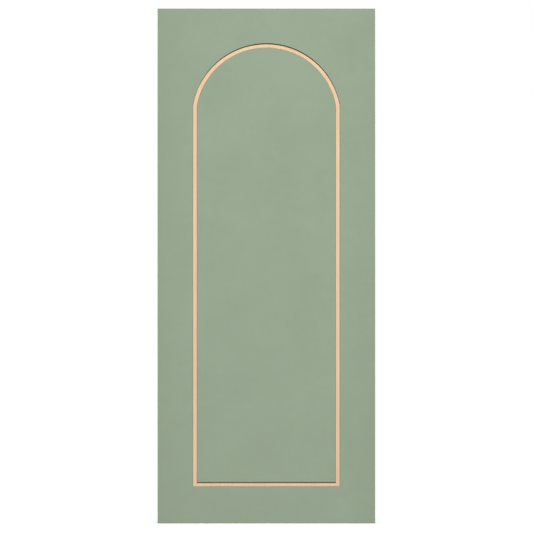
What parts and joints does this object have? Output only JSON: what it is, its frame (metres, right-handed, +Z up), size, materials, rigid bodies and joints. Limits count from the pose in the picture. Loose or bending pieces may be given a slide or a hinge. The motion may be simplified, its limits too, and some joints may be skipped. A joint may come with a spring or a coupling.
{
  "type": "grooved flush door leaf",
  "caption": "Solid-core flush door leaf, painted all over, with an arched groove of bare wood routed into its front face.",
  "frame": {"origin": "centre of the foot of the leaf, midway through its thickness", "axes": "+X across the leaf from the hinge edge to the lock edge, +Y out of the plain back face, +Z up the leaf; the grooved face looks towards -Y"},
  "size_m": [0.838, 0.044, 1.981],
  "materials": {
    "painted_plywood": "birch plywood in sage green eggshell paint, bare inside the groove",
    "painted_hardwood": "hardwood in sage green eggshell paint on its outer face",
    "softwood": "planed pine, bare",
    "particleboard": "sanded chipboard, bare"
  },
  "bodies": {
    "root": {"front_skin": "painted_plywood", "back_skin": "painted_plywood", "core": "particleboard", "hinge_stile": "softwood", "lock_stile": "softwood", "top_rail": "softwood", "bottom_rail": "softwood", "hinge_lipping": "painted_hardwood", "lock_lipping": "painted_hardwood", "top_lipping": "painted_hardwood", "bottom_lipping": "painted_hardwood"}
  },
  "joints": []
}
